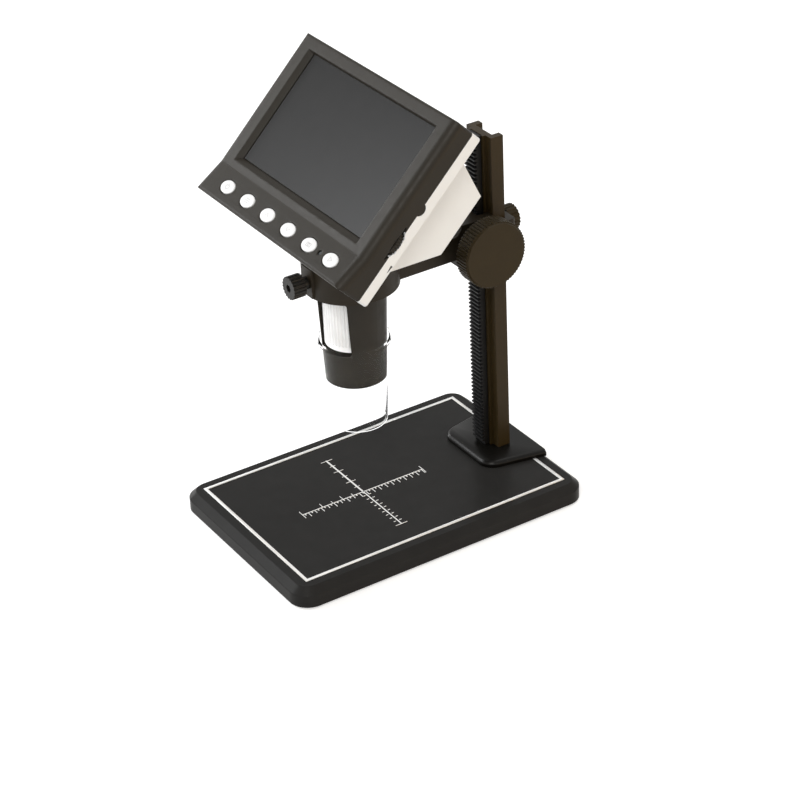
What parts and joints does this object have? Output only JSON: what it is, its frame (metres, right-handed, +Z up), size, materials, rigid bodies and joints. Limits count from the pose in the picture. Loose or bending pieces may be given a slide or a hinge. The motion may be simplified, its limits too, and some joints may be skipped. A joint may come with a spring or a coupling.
{
  "type": "lcd digital microscope",
  "caption": "Free-standing digital microscope: tilted screen head with buttons and dimmer on a lens barrel, held by an arm that a rack and pinion raises on a column over a flat scaled base.",
  "frame": {"origin": "middle of the base plate, on the table under its feet", "axes": "+Z up; -Y towards the user, who faces the screen; +X to the user's right, where the height knob is"},
  "size_m": [0.1199, 0.1534, 0.2113],
  "materials": {
    "black_casting": "satin black paint",
    "black_anodised": "satin black anodised",
    "black_steel": "black oxide, lightly oiled",
    "white_print": "matt screen print",
    "foot_rubber": "matt rubber",
    "plain_steel": "turned and plated",
    "bush_brass": "turned",
    "white_nylon": "nylon",
    "black_knob": "black anodised, knurled",
    "black_barrel": "satin black anodised",
    "white_ring": "satin moulded plastic",
    "lens_glass": "polished optical glass",
    "board_white": "white solder mask",
    "lamp_resin": "clear resin",
    "clear_plastic": "clear polished plastic",
    "board_green": "green solder mask",
    "chip_black": "moulded package",
    "black_shell": "satin moulded plastic",
    "screen_cover": "dark glossy glass",
    "panel_metal": "folded frame of a flat panel",
    "battery_foil": "wrapped cell",
    "switch_metal": "stamped",
    "pot_body": "moulded body",
    "white_shell": "satin moulded plastic",
    "white_button": "satin moulded plastic"
  },
  "bodies": {
    "base": {"base_plate": "black_casting", "scale_print": "white_print", "rubber_feet": "foot_rubber", "column_foot": "black_anodised", "column": "black_anodised", "foot_screws": "plain_steel", "rack": "black_steel"},
    "carriage": {"arm_bracket": "black_casting", "shaft_bush": "bush_brass", "brake_pad": "white_nylon"},
    "pinion": {"pinion_shaft": "plain_steel", "height_knob": "black_knob", "knob_set_screw": "plain_steel", "shaft_clip": "plain_steel"},
    "lock": {"lock_screw": "black_knob"},
    "clamp": {"clamp_screw": "black_knob"},
    "head": {"barrel": "black_barrel", "inner_tube": "black_barrel", "light_board": "board_white", "light_lamps": "lamp_resin", "lens_window": "clear_plastic", "sensor_board": "board_green", "image_sensor": "chip_black", "front_bezel": "black_shell", "screen_glass": "screen_cover", "lcd_panel": "panel_metal", "main_board": "board_green", "battery": "battery_foil", "button_board": "board_green", "button_switches": "switch_metal", "usb_socket": "plain_steel", "card_socket": "plain_steel", "dimmer_pot": "pot_body", "indicator_lens": "lamp_resin", "rear_cover": "white_shell", "cover_screws": "plain_steel"},
    "focus": {"focus_ring": "white_ring"},
    "lens": {"lens_cell": "black_barrel", "objective_lens": "lens_glass"},
    "hood": {"clear_hood": "clear_plastic"},
    "dimmer": {"dimmer_wheel": "black_shell"},
    "key_1": {"button_1": "white_button"},
    "key_2": {"button_2": "white_button"},
    "key_3": {"button_3": "white_button"},
    "key_4": {"button_4": "white_button"},
    "key_5": {"button_5": "white_button"},
    "key_6": {"button_6": "white_button"}
  },
  "joints": [
    {"name": "carriage_slide", "type": "slide", "parent": "base", "child": "carriage", "axis": [0, 0, 1], "range_m": [-0.02, 0.03]},
    {"name": "knob_turn", "type": "hinge", "parent": "carriage", "child": "pinion", "pos_m": [0, 0.04913, 0.123], "axis": [1, 0, 0], "range_deg": [-451, 301]},
    {"name": "lock_turn", "type": "hinge", "parent": "carriage", "child": "lock", "pos_m": [0, 0.07, 0.125], "axis": [0, 1, 0], "range_deg": [0, 360]},
    {"name": "clamp_turn", "type": "hinge", "parent": "carriage", "child": "clamp", "pos_m": [0, -0.038, 0.126], "axis": [0, -1, 0], "range_deg": [0, 360]},
    {"name": "head_swivel", "type": "hinge", "parent": "carriage", "child": "head", "pos_m": [0, -0.011, 0.126], "axis": [0, 0, 1], "range_deg": [-90, 90]},
    {"name": "focus_turn", "type": "hinge", "parent": "head", "child": "focus", "pos_m": [0, -0.011, 0.104], "axis": [0, 0, 1], "range_deg": [-180, 180]},
    {"name": "lens_slide", "type": "slide", "parent": "head", "child": "lens", "axis": [0, 0, 1], "range_m": [-0.0031, 0.0031]},
    {"name": "hood_slide", "type": "slide", "parent": "head", "child": "hood", "axis": [0, 0, 1], "range_m": [-0.01, 0]},
    {"name": "dimmer_turn", "type": "hinge", "parent": "head", "child": "dimmer", "pos_m": [0.0522, -0.02316, 0.16576], "axis": [0, -0.7071, 0.7071], "range_deg": [-135, 135]},
    {"name": "key_press_1", "type": "slide", "parent": "head", "child": "key_1", "axis": [0, 0.5736, -0.8192], "range_m": [0, 0.0008], "stiffness_N_per_m": 400, "springref_m": -0.0005},
    {"name": "key_press_2", "type": "slide", "parent": "head", "child": "key_2", "axis": [0, 0.5736, -0.8192], "range_m": [0, 0.0008], "stiffness_N_per_m": 400, "springref_m": -0.0005},
    {"name": "key_press_3", "type": "slide", "parent": "head", "child": "key_3", "axis": [0, 0.5736, -0.8192], "range_m": [0, 0.0008], "stiffness_N_per_m": 400, "springref_m": -0.0005},
    {"name": "key_press_4", "type": "slide", "parent": "head", "child": "key_4", "axis": [0, 0.5736, -0.8192], "range_m": [0, 0.0008], "stiffness_N_per_m": 400, "springref_m": -0.0005},
    {"name": "key_press_5", "type": "slide", "parent": "head", "child": "key_5", "axis": [0, 0.5736, -0.8192], "range_m": [0, 0.0008], "stiffness_N_per_m": 400, "springref_m": -0.0005},
    {"name": "key_press_6", "type": "slide", "parent": "head", "child": "key_6", "axis": [0, 0.5736, -0.8192], "range_m": [0, 0.0008], "stiffness_N_per_m": 400, "springref_m": -0.0005}
  ],
  "couplings": [
    {"joint": "knob_turn", "follows": "carriage_slide", "rad_per_m": -261.8},
    {"joint": "lens_slide", "follows": "focus_turn", "m_per_rad": 0.00095493}
  ]
}
